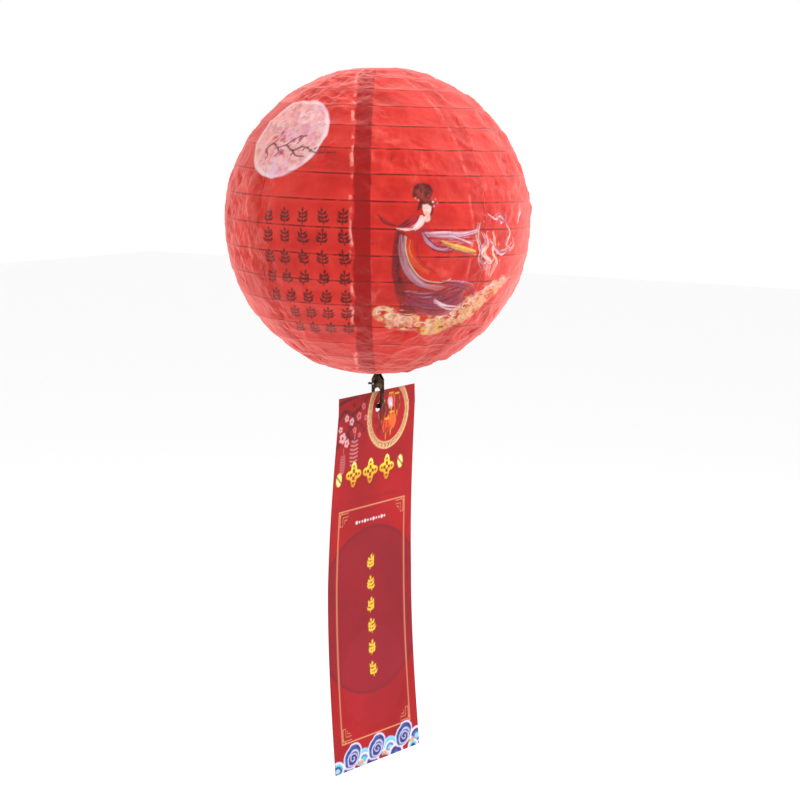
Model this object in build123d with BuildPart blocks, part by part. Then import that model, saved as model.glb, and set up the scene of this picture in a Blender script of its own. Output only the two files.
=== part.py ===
from build123d import *
import os
from math import acos, ceil, cos, degrees, hypot, radians, sin, sqrt

os.makedirs("parts", exist_ok=True)

# Driving dimensions, in millimetres and degrees. The origin is the centre of the hanging eye.

# Paper shade: a globe of eight lapped gores over one spiral of rib wire
shade_diameter = 200.0
mouth_diameter = 30.0
gore_count = 8
first_seam = 35.1
paper_thickness = 0.4
lap_angle = 6.6
lap_root_angle = 0.6
glue_gap = 0.05
rib_wire = 1.0
rib_pitch_angle = 9.57
rib_equator_longitude = -118.7
arcs_per_turn = 4

# Wire expander that keeps the globe open
hoop_wire = 1.6
frame_wire = 1.6
upright_offset = 12.0
frame_bend = 1.0
foot_lip = 1.2
eye_bore = 6.0
rim_above_eye = 0.2
bar_sink = 0.4
wire_gap = 0.05

# Swivel clasp under the shade
link_gap = 0.3
bail_bore = 3.6
bail_wire = 1.4
collar_diameter = 6.2
collar_height = 1.4
rivet_diameter = 1.8
rivet_head_diameter = 2.8
rivet_head_height = 0.7
rivet_depth = 2.4
rivet_gap = 0.05
swivel_gap = 0.1
head_clearance = 0.4
clasp_width = 9.6
clasp_neck = 5.0
clasp_shoulder_drop = 3.4
clasp_thickness = 2.8
clasp_arm = 2.2
clasp_rounding = 1.0
clasp_head_height = 9.2
hook_height = 13.0
gate_thickness = 1.4
gate_slot = 1.6
gate_arm = 1.8
gate_hub = 3.2
gate_pin = 1.2
gate_pin_inset = 1.8
gate_pin_above_hook = 2.4
gate_length = 10.2
gate_nose = 1.4
gate_gap = 0.1
lip_gap = 0.3
thumb_tab = 2.2
thumb_bead = 1.5
fixed_gap = 0.02
running_gap = 0.05
spring_leaf = 0.25

# Riddle card
card_width = 90.0
card_height = 255.0
card_thickness = 0.6
card_corner = 1.5
card_hole = 6.0
card_hole_drop = 11.0
card_play = 0.1


def ring_height(radius, distance):
    """Height above a sphere's centre where its surface is this far from the axis."""
    return sqrt(radius**2 - distance**2)


# Places that follow from the sizes above
eye_ring = (eye_bore + frame_wire) / 2
shade_radius = shade_diameter / 2
mouth_radius = mouth_diameter / 2
rim_height = eye_bore / 2 + frame_wire + rim_above_eye
shade_centre = rim_height - ring_height(shade_radius, mouth_radius)
tab_outer = shade_radius - paper_thickness - glue_gap
tab_inner = tab_outer - paper_thickness
hoop_radius = mouth_radius + hoop_wire / 2
hoop_rise = ring_height(tab_inner - glue_gap - hoop_wire / 2, hoop_radius)
foot_rise = hoop_rise - hoop_wire / 2 - wire_gap - frame_wire / 2
lip_offset = hoop_radius + hoop_wire / 2 + wire_gap + frame_wire / 2
rib_radius = tab_inner - glue_gap - rib_wire / 2
rib_start_radius = lip_offset + frame_wire / 2 + rib_wire

# The spiral drops by one pitch in each turn, from just outside the top feet to just outside the bottom ones
rib_top_latitude = degrees(acos(rib_start_radius / rib_radius))
rib_turns = 2 * rib_top_latitude / rib_pitch_angle
rib_arc_count = ceil(rib_turns * arcs_per_turn)


def rib_point(share):
    """A point on the rib wire's centre line: share 0 is its top end and 1 its bottom end."""
    latitude = rib_top_latitude * (1 - 2 * share)
    longitude = radians(rib_equator_longitude - 360 * latitude / rib_pitch_angle)
    reach = rib_radius * cos(radians(latitude))
    height = shade_centre + rib_radius * sin(radians(latitude))
    return (reach * cos(longitude), reach * sin(longitude), height)


# Paper gores: the sheet itself, a root at its leading edge, and the lap tab under the gore before it
gore_angle = 360 / gore_count
edge_gap_angle = degrees(glue_gap / shade_radius)
gore_layers = (
    (shade_radius - paper_thickness, shade_radius, 0, gore_angle - edge_gap_angle),
    (tab_inner, shade_radius, 0, lap_root_angle),
    (tab_inner, tab_outer, -lap_angle, lap_root_angle),
)
shade_axis = Axis((0, 0, shade_centre), (0, 0, 1))
for gore_index in range(gore_count):
    seam = first_seam + gore_index * gore_angle
    with BuildPart() as gore:
        for inner, outer, begin, end in gore_layers:
            edge_angle = radians(seam + begin)
            edge_plane = Plane(
                origin=(0, 0, shade_centre),
                x_dir=(cos(edge_angle), sin(edge_angle), 0),
                z_dir=(sin(edge_angle), -cos(edge_angle), 0),
            )
            outer_top = ring_height(outer, mouth_radius)
            inner_top = ring_height(inner, mouth_radius)
            with BuildSketch(edge_plane):
                with BuildLine():
                    ThreePointArc((mouth_radius, outer_top), (outer, 0), (mouth_radius, -outer_top))
                    Line((mouth_radius, -outer_top), (mouth_radius, -inner_top))
                    ThreePointArc((mouth_radius, -inner_top), (inner, 0), (mouth_radius, inner_top))
                    Line((mouth_radius, inner_top), (mouth_radius, outer_top))
                make_face()
            revolve(axis=shade_axis, revolution_arc=end - begin)
    gore.part.label = f"paper_gore_{gore_index + 1}"
    export_step(gore.part, f"parts/{gore.part.label}.step")

# Rib wire: one continuous spiral inside the laps
with BuildPart() as spiral_wire:
    with BuildLine() as rib_path:
        for arc in range(rib_arc_count):
            ThreePointArc(*(rib_point((arc + step) / rib_arc_count) for step in (0, 0.5, 1)))
    with BuildSketch(rib_path.line ^ 0):
        Circle(rib_wire / 2)
    sweep()
spiral_wire.part.label = "spiral_wire"
export_step(spiral_wire.part, "parts/spiral_wire.step")

# Mouth hoops: one wire ring under the paper's edge at each mouth
for hoop_name, side in (("top_hoop", 1), ("bottom_hoop", -1)):
    with BuildPart() as hoop:
        with BuildSketch(Plane.XZ):
            with Locations((hoop_radius, shade_centre + side * hoop_rise)):
                Circle(hoop_wire / 2)
        revolve(axis=Axis.Z)
    hoop.part.label = hoop_name
    export_step(hoop.part, f"parts/{hoop_name}.step")

# Uprights: each ends in feet that reach out under a hoop and turn up behind it
for upright_name, side in (("left_upright", -1), ("right_upright", 1)):
    with BuildPart() as upright:
        with BuildLine(Plane.XZ) as upright_path:
            FilletPolyline(
                (side * lip_offset, shade_centre + foot_rise + foot_lip),
                (side * lip_offset, shade_centre + foot_rise),
                (side * upright_offset, shade_centre + foot_rise),
                (side * upright_offset, shade_centre - foot_rise),
                (side * lip_offset, shade_centre - foot_rise),
                (side * lip_offset, shade_centre - foot_rise - foot_lip),
                radius=frame_bend,
            )
        with BuildSketch(upright_path.line ^ 0):
            Circle(frame_wire / 2)
        sweep()
    upright.part.label = upright_name
    export_step(upright.part, f"parts/{upright_name}.step")

# Cross bars: a wire with a loop in its middle and an end coil round each upright
end_coil_ring = frame_wire + wire_gap
bottom_eye_height = 2 * shade_centre
bar_reach = upright_offset - end_coil_ring
for bar_name, eye_height, side in (
    ("hanging_bar", 0, 1),
    ("bottom_bar", bottom_eye_height, -1),
):
    coil_height = eye_height - side * eye_ring
    bar_height = coil_height - side * bar_sink
    with BuildPart() as cross_bar:
        with BuildSketch(Plane.YZ.offset(-bar_reach)):
            with Locations((0, bar_height)):
                Circle(frame_wire / 2)
        extrude(amount=2 * bar_reach)
        with BuildSketch(Plane.XY.offset(eye_height)):
            with Locations((eye_ring, 0)):
                Circle(frame_wire / 2)
        revolve(axis=Axis((0, 0, eye_height), (0, 1, 0)))
        for end in (-1, 1):
            with BuildSketch(Plane.XZ):
                with Locations((end * bar_reach, coil_height)):
                    Circle(frame_wire / 2)
            revolve(axis=Axis((end * upright_offset, 0, 0), (0, 0, 1)))
    cross_bar.part.label = bar_name
    export_step(cross_bar.part, f"parts/{bar_name}.step")

# Clasp heights, from the wire that it hangs on down to the bow that holds the card
swing_height = bottom_eye_height - eye_ring
bail_ring = (bail_bore + bail_wire) / 2
bail_height = swing_height + frame_wire / 2 + link_gap - bail_bore / 2
head_top = swing_height - frame_wire / 2 - head_clearance
collar_top = head_top - rivet_head_height - swivel_gap
collar_bottom = collar_top - collar_height
clasp_top = collar_bottom - swivel_gap
slot_top = clasp_top - clasp_head_height
bow_height = slot_top - hook_height + clasp_arm / 2
inner_half = clasp_width / 2 - clasp_arm
pin_height = slot_top + gate_pin_above_hook
pin_offset = clasp_width / 2 - gate_pin_inset
gate_inner = clasp_width / 2 - gate_arm
gate_end = pin_height - gate_length
slot_rise = gate_pin_above_hook + gate_hub / 2 + 2 * gate_gap
slot_back = pin_offset - gate_hub / 2 - spring_leaf - 2 * gate_gap

# Swivel eye: a bail on a drilled collar
with BuildPart() as swivel_eye:
    with BuildLine(Plane.YZ) as bail_path:
        Line((-bail_ring, collar_top - collar_height / 2), (-bail_ring, bail_height))
        ThreePointArc((-bail_ring, bail_height), (0, bail_height + bail_ring), (bail_ring, bail_height))
        Line((bail_ring, bail_height), (bail_ring, collar_top - collar_height / 2))
    with BuildSketch(bail_path.line ^ 0):
        Circle(bail_wire / 2)
    sweep()
    with BuildSketch(Plane.XY.offset(collar_bottom)):
        Circle(collar_diameter / 2)
    extrude(amount=collar_height)
    with BuildSketch(Plane.XY.offset(collar_bottom)):
        Circle(rivet_diameter / 2 + rivet_gap)
    extrude(amount=collar_height, mode=Mode.SUBTRACT)
swivel_eye.part.label = "swivel_eye"
export_step(swivel_eye.part, "parts/swivel_eye.step")

# Swivel rivet: its tail is set in the clasp and its head stands over the collar
with BuildPart() as swivel_rivet:
    with BuildSketch(Plane.XY.offset(clasp_top - rivet_depth)):
        Circle(rivet_diameter / 2)
    extrude(amount=head_top - clasp_top + rivet_depth)
    with BuildSketch(Plane.XY.offset(head_top - rivet_head_height)):
        Circle(rivet_head_diameter / 2)
    extrude(amount=rivet_head_height)
    fillet(swivel_rivet.edges().group_by(Axis.Z)[-1], rivet_head_height / 2)
swivel_rivet.part.label = "swivel_rivet"
export_step(swivel_rivet.part, "parts/swivel_rivet.step")

# Clasp body: a rounded head over a hook, open on the side where the gate stands
clasp_half = clasp_width / 2
with BuildPart() as clasp_body:
    with BuildSketch(Plane.YZ):
        with BuildLine():
            Polyline(
                (-clasp_half, bow_height + inner_half),
                (-clasp_half, clasp_top - clasp_shoulder_drop),
                (-clasp_neck / 2, clasp_top),
                (clasp_neck / 2, clasp_top),
                (clasp_half, clasp_top - clasp_shoulder_drop),
                (clasp_half, bow_height + inner_half),
            )
            ThreePointArc(
                (clasp_half, bow_height + inner_half),
                (0, bow_height + inner_half - clasp_half),
                (-clasp_half, bow_height + inner_half),
            )
        make_face()
        with Locations((0, (slot_top + bow_height + clasp_arm / 2) / 2)):
            SlotOverall(hook_height - clasp_arm, 2 * inner_half, rotation=90, mode=Mode.SUBTRACT)
    extrude(amount=clasp_thickness / 2, both=True)
    long_edges = clasp_body.faces().filter_by(Axis.X).edges()
    fillet(long_edges, clasp_rounding)
    with BuildSketch(Plane.YZ):
        with Locations((inner_half - gate_gap, gate_end + gate_nose)):
            Rectangle(2 * clasp_arm, slot_top - gate_end - gate_nose, align=(Align.MIN, Align.MIN))
        with Locations((inner_half - gate_gap, gate_end - gate_gap)):
            Rectangle(clasp_arm / 2, 2 * gate_nose, align=(Align.MIN, Align.MIN))
    extrude(amount=clasp_thickness, both=True, mode=Mode.SUBTRACT)
    with BuildSketch(Plane.YZ):
        with Locations((slot_back, slot_top - clasp_arm)):
            Rectangle(clasp_width, slot_rise + clasp_arm, align=(Align.MIN, Align.MIN))
    extrude(amount=gate_slot / 2, both=True, mode=Mode.SUBTRACT)
    with BuildSketch(Plane.YZ):
        with Locations((pin_offset, pin_height)):
            Circle(gate_pin / 2 + fixed_gap)
    extrude(amount=clasp_thickness, both=True, mode=Mode.SUBTRACT)
    with BuildSketch(Plane.XY.offset(clasp_top)):
        Circle(rivet_diameter / 2 + fixed_gap)
    extrude(amount=-rivet_depth - fixed_gap, mode=Mode.SUBTRACT)
clasp_body.part.label = "clasp_body"
export_step(clasp_body.part, "parts/clasp_body.step")

# Gate: a drilled hub with a thumb tab, and an arm whose nose shuts behind the hook's tip
nose_width = inner_half - gate_inner + clasp_arm / 2 - 2 * gate_gap
with BuildPart() as clasp_gate:
    with BuildSketch(Plane.YZ):
        with Locations((pin_offset, pin_height)):
            Circle(gate_hub / 2)
        with Locations((gate_inner, gate_end + gate_nose + lip_gap)):
            Rectangle(gate_arm, gate_length - gate_nose - lip_gap, align=(Align.MIN, Align.MIN))
        with Locations((gate_inner, gate_end)):
            Rectangle(nose_width, 2 * gate_nose, align=(Align.MIN, Align.MIN))
        with Locations((pin_offset, pin_height)):
            Rectangle(gate_pin_inset + thumb_tab, gate_pin, align=(Align.MIN, Align.CENTER))
        with Locations((pin_offset + gate_pin_inset + thumb_tab, pin_height)):
            Circle(thumb_bead / 2)
        with Locations((pin_offset, pin_height)):
            Circle(gate_pin / 2 + running_gap, mode=Mode.SUBTRACT)
    extrude(amount=gate_thickness / 2, both=True)
clasp_gate.part.label = "clasp_gate"
export_step(clasp_gate.part, "parts/clasp_gate.step")

# Gate pin: flush with both cheeks of the clasp
with BuildPart() as pivot_pin:
    with BuildSketch(Plane.YZ):
        with Locations((pin_offset, pin_height)):
            Circle(gate_pin / 2)
    extrude(amount=clasp_thickness / 2, both=True)
pivot_pin.part.label = "gate_pin"
export_step(pivot_pin.part, "parts/gate_pin.step")

# Gate spring: a bent leaf in the slot that holds the gate shut
leaf_back = slot_back + spring_leaf / 2 + fixed_gap
leaf_front = gate_inner - spring_leaf / 2 - running_gap
leaf_foot = slot_top - gate_pin_above_hook / 2
with BuildPart() as gate_spring:
    with BuildSketch(Plane.YZ):
        with BuildLine():
            Polyline((leaf_back, pin_height), (leaf_back, slot_top), (leaf_front, leaf_foot))
        trace(line_width=spring_leaf)
    extrude(amount=gate_thickness / 2, both=True)
gate_spring.part.label = "gate_spring"
export_step(gate_spring.part, "parts/gate_spring.step")

# Riddle card: hangs from the bow by a punched hole
bow_reach = hypot(clasp_arm / 2 - clasp_rounding, clasp_thickness / 2 - clasp_rounding) + clasp_rounding
hole_height = bow_height - (card_hole / 2 - bow_reach - card_play)
card_top = hole_height + card_hole_drop
with BuildPart() as riddle_card:
    with BuildSketch(Plane.XZ):
        with Locations((0, card_top - card_height / 2)):
            RectangleRounded(card_width, card_height, card_corner)
        with Locations((0, hole_height)):
            Circle(card_hole / 2, mode=Mode.SUBTRACT)
    extrude(amount=card_thickness / 2, both=True)
riddle_card.part.label = "riddle_card"
export_step(riddle_card.part, "parts/riddle_card.step")
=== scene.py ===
import math

import bmesh
import bpy
import numpy as np
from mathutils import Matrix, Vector


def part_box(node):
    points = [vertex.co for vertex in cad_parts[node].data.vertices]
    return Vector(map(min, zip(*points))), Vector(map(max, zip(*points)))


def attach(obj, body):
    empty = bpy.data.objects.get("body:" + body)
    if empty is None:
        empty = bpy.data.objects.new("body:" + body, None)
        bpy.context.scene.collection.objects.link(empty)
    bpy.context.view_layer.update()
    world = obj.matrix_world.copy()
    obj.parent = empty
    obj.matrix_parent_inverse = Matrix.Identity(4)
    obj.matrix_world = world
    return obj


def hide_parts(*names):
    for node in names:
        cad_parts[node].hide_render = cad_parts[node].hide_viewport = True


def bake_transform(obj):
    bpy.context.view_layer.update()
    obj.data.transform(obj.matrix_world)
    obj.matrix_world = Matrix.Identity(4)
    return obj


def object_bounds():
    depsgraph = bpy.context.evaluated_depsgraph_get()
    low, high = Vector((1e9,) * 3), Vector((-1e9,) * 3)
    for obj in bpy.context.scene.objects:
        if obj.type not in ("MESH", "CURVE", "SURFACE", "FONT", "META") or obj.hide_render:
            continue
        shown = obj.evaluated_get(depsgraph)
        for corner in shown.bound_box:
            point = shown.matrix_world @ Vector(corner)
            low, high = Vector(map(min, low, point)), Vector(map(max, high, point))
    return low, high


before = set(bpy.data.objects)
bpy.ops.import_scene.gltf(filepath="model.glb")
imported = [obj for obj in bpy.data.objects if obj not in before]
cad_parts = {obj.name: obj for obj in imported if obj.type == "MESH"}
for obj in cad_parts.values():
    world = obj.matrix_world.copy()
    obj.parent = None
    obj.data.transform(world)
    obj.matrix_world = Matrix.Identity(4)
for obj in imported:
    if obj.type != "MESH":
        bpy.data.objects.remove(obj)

cadLow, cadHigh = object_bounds()
mm = 0.001


def paint(code):
    # an sRGB hex colour as linear red, green, blue
    channels = [int(code[i:i + 2], 16) / 255 for i in (1, 3, 5)]
    return [c / 12.92 if c <= 0.04045 else ((c + 0.055) / 1.055) ** 2.4 for c in channels]


def addNode(tree, kind, feeds=None, **settings):
    # adds one node; feeds maps a socket to a value, a socket, a node,
    # or the name of an earlier node as "node" or "node.output"
    node = tree.nodes.new(kind)
    for key, value in settings.items():
        setattr(node, key, value)
    for socket, source in (feeds or {}).items():
        if isinstance(source, str) and source.partition(".")[0] in tree.nodes:
            name, _, output = source.partition(".")
            source = tree.nodes[name].outputs[output or 0]
        if isinstance(source, bpy.types.Node):
            source = source.outputs[0]
        if isinstance(source, bpy.types.NodeSocket):
            tree.links.new(source, node.inputs[socket])
        else:
            node.inputs[socket].default_value = source
    return node


def addMaths(tree, rows):
    # maths nodes from rows of name, operation and terms
    for name, operation, *terms in rows:
        addNode(tree, "ShaderNodeMath", dict(enumerate(terms)), operation=operation, name=name)


def newMaterial(name, **sockets):
    material = bpy.data.materials.new(name)
    material.use_nodes = True
    tree = material.node_tree
    shader = tree.nodes["Principled BSDF"]
    for socket, value in sockets.items():
        shader.inputs[socket.replace("_", " ")].default_value = value
    return material, tree, shader


def setRamp(node, *stops):
    # stops are (place, hex colour) pairs
    ramp = node.color_ramp
    while len(ramp.elements) < len(stops):
        ramp.elements.new(0.5)
    for element, (place, code) in zip(ramp.elements, stops):
        element.position = place
        element.color = paint(code) + [1]


def finishSurface(tree, shader, colour, grain, rough, strength, depth):
    # colour, then roughness and bump that both follow the surface's grain
    limits = {"From Min": 0.3, "From Max": 0.7, "To Min": rough[0], "To Max": rough[1]}
    addNode(tree, "ShaderNodeMapRange", {"Value": grain, **limits}, name="rough")
    addNode(tree, "ShaderNodeBump", {"Height": grain, "Strength": strength, "Distance": depth}, name="bump")
    for source, socket in ((colour, "Base Color"), ("rough", "Roughness"), ("bump", "Normal")):
        tree.links.new(tree.nodes[source].outputs[0], shader.inputs[socket])


# Where things are, from the frame
shadeBoxes = [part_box(f"paper_gore_{i + 1}") for i in range(8)]
shadeLow = Vector([min(box[0][axis] for box in shadeBoxes) for axis in range(3)])
shadeHigh = Vector([max(box[1][axis] for box in shadeBoxes) for axis in range(3)])
shadeMiddle = (shadeLow.z + shadeHigh.z) / 2
cardLow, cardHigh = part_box("riddle_card")

shadeFacts = {
    "radius": 100 * mm,
    "topLatitude": math.radians(81.37),
    "ribPitch": math.radians(9.57),
    "ribLongitude": math.radians(-118.7),
    "firstSeam": math.radians(35.1),
    "goreSweep": math.radians(45),
    "lapWidth": 10.5 * mm,
    "scallopDepth": 1.0 * mm,
    "crumpleHeight": 2.2 * mm,
    # painted shade over the doubled paper at the laps: strongest on the one gore facing the camera, weak on
    # the rest
    "strongestLapShade": 0.95,
    "mostShadedLapGore": 3,
    "otherLapShade": 0.28,
    "paperThickness": 0.3 * mm,
    "frontLongitude": math.radians(-143),
}

# Camera and light
cameraFacts = {
    "azimuth": math.radians(-53),
    "elevation": math.radians(8.3),
    "distance": 1.345,
    "lens": 90.6,
    "below": 119 * mm,
    "aside": 14.8 * mm,
}
azimuth = cameraFacts["azimuth"]
lift = cameraFacts["elevation"]
back = Vector((math.sin(azimuth) * math.cos(lift), -math.cos(azimuth) * math.cos(lift), math.sin(lift)))
screenRight = Vector((math.cos(azimuth), math.sin(azimuth), 0))
target = Vector((0, 0, shadeMiddle - cameraFacts["below"])) + screenRight * cameraFacts["aside"]
cameraData = bpy.data.cameras.new("camera")
cameraData.lens = cameraFacts["lens"]
cameraData.sensor_width = 36
camera = bpy.data.objects.new("camera", cameraData)
bpy.context.collection.objects.link(camera)
camera.location = target + back * cameraFacts["distance"]
camera.rotation_euler = (-back).to_track_quat("-Z", "Y").to_euler()
bpy.context.scene.camera = camera

lightFacts = {
    "keyPower": 7, "fillPower": 2.4, "rimPower": 9, "worldColour": "#FFFFFF", "worldStrength": 1.0,
    "floorDrop": 0.25,
}


def addSoftLight(name, place, size, power):
    data = bpy.data.lights.new(name, "AREA")
    data.size = size
    data.energy = power
    lamp = bpy.data.objects.new(name, data)
    bpy.context.collection.objects.link(lamp)
    lamp.location = place
    lamp.rotation_euler = (Vector((0, 0, shadeMiddle)) - place).to_track_quat("-Z", "Y").to_euler()


centre = Vector((0, 0, shadeMiddle))
addSoftLight(
    "keyLight", centre + back * 0.55 + screenRight * 0.95 + Vector((0, 0, 0.75)), 0.45,
    lightFacts["keyPower"]
)
addSoftLight(
    "fillLight", centre + back * 0.9 - screenRight * 0.9 + Vector((0, 0, 0.2)), 0.9, lightFacts["fillPower"]
)
addSoftLight(
    "rimLight", centre - back * 0.15 + screenRight * 0.9 + Vector((0, 0, 0.75)), 0.6, lightFacts["rimPower"]
)
world = bpy.data.worlds.new("studio")
world.use_nodes = True
backdrop = world.node_tree.nodes["Background"]
backdrop.inputs["Color"].default_value = paint(lightFacts["worldColour"]) + [1]
backdrop.inputs["Strength"].default_value = lightFacts["worldStrength"]
bpy.context.scene.world = world
bpy.context.scene.view_settings.view_transform = "Standard"

floorMaterial, _, floorShader = newMaterial("paleStudioFloor", Roughness=0.9)
floorShader.inputs["Base Color"].default_value = paint("#FAFAFA") + [1]
bpy.ops.mesh.primitive_plane_add(size=12, location=(0, 0, cadLow.z - lightFacts["floorDrop"]))
floor = bpy.context.object
floor.name = "floor"
floor.data.materials.append(floorMaterial)
print("stage, lights and camera done")


# Drawing on a flat sheet of print, before it is laid on the paper
def newPrint(left, right, bottom, top, dotsPerMm):
    x, y = np.meshgrid(np.arange(left, right, 1 / dotsPerMm), np.arange(bottom, top, 1 / dotsPerMm))
    return {
        "x": x, "y": y, "ink": np.zeros(x.shape + (4,)), "left": left, "bottom": bottom, "dots": dotsPerMm
    }


def smoothLine(points, perSpan=10, closed=False):
    # a curve through given points
    p = np.array(points, float)
    ends = (p[-1], p[0], p[1]) if closed else (2 * p[0] - p[1], p[-1], 2 * p[-1] - p[-2])
    p = np.vstack([ends[0], p, ends[1], ends[2]]) if closed else np.vstack([ends[0], p, ends[2]])
    found = []
    for a, b, c, d in zip(p, p[1:], p[2:], p[3:]):
        for t in np.linspace(0, 1, perSpan, endpoint=False):
            found.append(
                b + t * (
                    (c - a) / 2 + t * ((a - 2.5 * b + 2 * c - d / 2) + t * (1.5 * (b - c) + (d - a) / 2))
                )
            )
    if not closed:
        found.append(p[-2])
    return np.array(found)


def cut(sheet, line, margin):
    # the part of the sheet round a line
    rows, columns = sheet["x"].shape
    low = np.floor((line.min(0) - margin - (sheet["left"], sheet["bottom"])) * sheet["dots"]).astype(int)
    high = np.ceil(
        (line.max(0) + margin - (sheet["left"], sheet["bottom"])) * sheet["dots"]
    ).astype(int) + 1
    low = np.clip(low, 0, (columns, rows))
    high = np.clip(high, 0, (columns, rows))
    return slice(low[1], high[1]), slice(low[0], high[0])


def lay(sheet, window, mask, code, strength=1):
    ink = sheet["ink"][window]
    mask = np.clip(mask, 0, 1)[..., None] * strength
    colour = np.array(paint(code))
    cover = ink[..., 3:] * (1 - mask) + mask
    blend = (ink[..., :3] * ink[..., 3:] * (1 - mask) + colour * mask) / np.maximum(cover, 1e-6)
    sheet["ink"][window] = np.concatenate([blend, cover], axis=-1)


def brush(sheet, points, code, start=0.5, end=None, strength=1, soft=0.35, middle=None):
    # a brush stroke; start, middle and end are its half widths in mm
    curve = smoothLine(points)
    run = np.concatenate([[0], np.cumsum(np.hypot(*np.diff(curve, axis=0).T))])
    share = np.linspace(0, 1, max(int(run[-1] / 0.22), 2))
    line = np.stack([np.interp(share * run[-1], run, curve[:, axis]) for axis in (0, 1)], axis=1)
    end = start if end is None else end
    middle = (start + end) / 2 if middle is None else middle
    width = np.interp(share, (0, 0.5, 1), (start, middle, end))
    window = cut(sheet, line, width.max() + soft)
    x, y = sheet["x"][window], sheet["y"][window]
    mask = np.zeros(x.shape)
    for (px, py), half in zip(line, width):
        mask = np.maximum(mask, (half - np.hypot(x - px, y - py)) / soft + 0.5)
    lay(sheet, window, mask, code, strength)


def patch(sheet, points, code, strength=1, soft=1, rounded=True):
    # a filled shape with a soft edge
    line = smoothLine(points, 8, closed=True) if rounded else np.array(points, float)
    window = cut(sheet, line, 1)
    x, y = sheet["x"][window], sheet["y"][window]
    inside = np.zeros(x.shape, bool)
    for (ax, ay), (bx, by) in zip(line, np.roll(line, -1, axis=0)):
        if ay != by:
            inside ^= ((ay > y) != (by > y)) & (x < (bx - ax) * (y - ay) / (by - ay) + ax)
    mask = inside.astype(float)
    for _ in range(int(soft)):
        padded = np.pad(mask, 1, mode="edge")
        mask = sum(padded[i:i + mask.shape[0], j:j + mask.shape[1]] for i in range(3) for j in range(3)) / 9
    lay(sheet, window, mask, code, strength)


def disc(sheet, middle, radius, code, strength=1, soft=0.3, inner=None):
    middle = np.array(middle, float)
    window = cut(sheet, np.array([middle - radius, middle + radius]), soft)
    away = np.hypot(sheet["x"][window] - middle[0], sheet["y"][window] - middle[1])
    mask = (radius - away) / soft + 0.5
    if inner is not None:
        mask = np.minimum(mask, (away - inner) / soft + 0.5)
    lay(sheet, window, mask, code, strength)


def cloudNoise(x, y, size, seed):
    # smooth random blotches of about this size in mm, from 0 to 1
    lattice = np.random.default_rng(seed).random((64, 64))
    u, v = x / size, y / size
    i, j = np.floor(u).astype(int), np.floor(v).astype(int)
    fu, fv = u - i, v - j
    fu, fv = fu * fu * (3 - 2 * fu), fv * fv * (3 - 2 * fv)
    corner = [lattice[(j + b) % 64, (i + a) % 64] for a, b in ((0, 0), (1, 0), (0, 1), (1, 1))]
    return (corner[0] * (1 - fu) + corner[1] * fu) * (1 - fv) + (corner[2] * (1 - fu) + corner[3] * fu) * fv


def wash(sheet, middle, radius, code, strength, size, seed, threshold=0.5):
    # blotches of one colour inside a round area
    middle = np.array(middle, float)
    window = cut(sheet, np.array([middle - radius, middle + radius]), 0)
    x, y = sheet["x"][window], sheet["y"][window]
    noise = 0.6 * cloudNoise(x, y, size, seed) + 0.4 * cloudNoise(x, y, size * 0.4, seed + 1)
    mask = np.clip((noise - threshold) * 5, 0, 1) * np.clip(
        (radius - np.hypot(x - middle[0], y - middle[1])) / 1.5, 0, 1
    )
    lay(sheet, window, mask, code, strength)


def readPrint(sheet, x, y):
    # the print's colour and cover at places on the sheet
    rows, columns = sheet["x"].shape
    u = (x - sheet["left"]) * sheet["dots"]
    v = (y - sheet["bottom"]) * sheet["dots"]
    on = (u >= 0) & (u < columns - 1) & (v >= 0) & (v < rows - 1)
    u, v = np.clip(u, 0, columns - 1.001), np.clip(v, 0, rows - 1.001)
    i, j = u.astype(int), v.astype(int)
    fu, fv = (u - i)[:, None], (v - j)[:, None]
    ink = sheet["ink"]
    near = ink[j, i] * (1 - fu) * (1 - fv) + ink[j, i + 1] * fu * (1 - fv)
    far = ink[j + 1, i] * (1 - fu) * fv + ink[j + 1, i + 1] * fu * fv
    return (near + far) * on[:, None]


def drawBlossom(sheet, x, y, petals, heart):
    # five round petals and a heart
    # petals are distance, radius, colour and strength; heart is radius and colour
    away, radius, code, strength = petals
    for turn in range(5):
        angle = turn * 1.2566 + x
        disc(sheet, (x + away * math.cos(angle), y + away * math.sin(angle)), radius, code, strength)
    disc(sheet, (x, y), *heart, 0.9)


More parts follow.
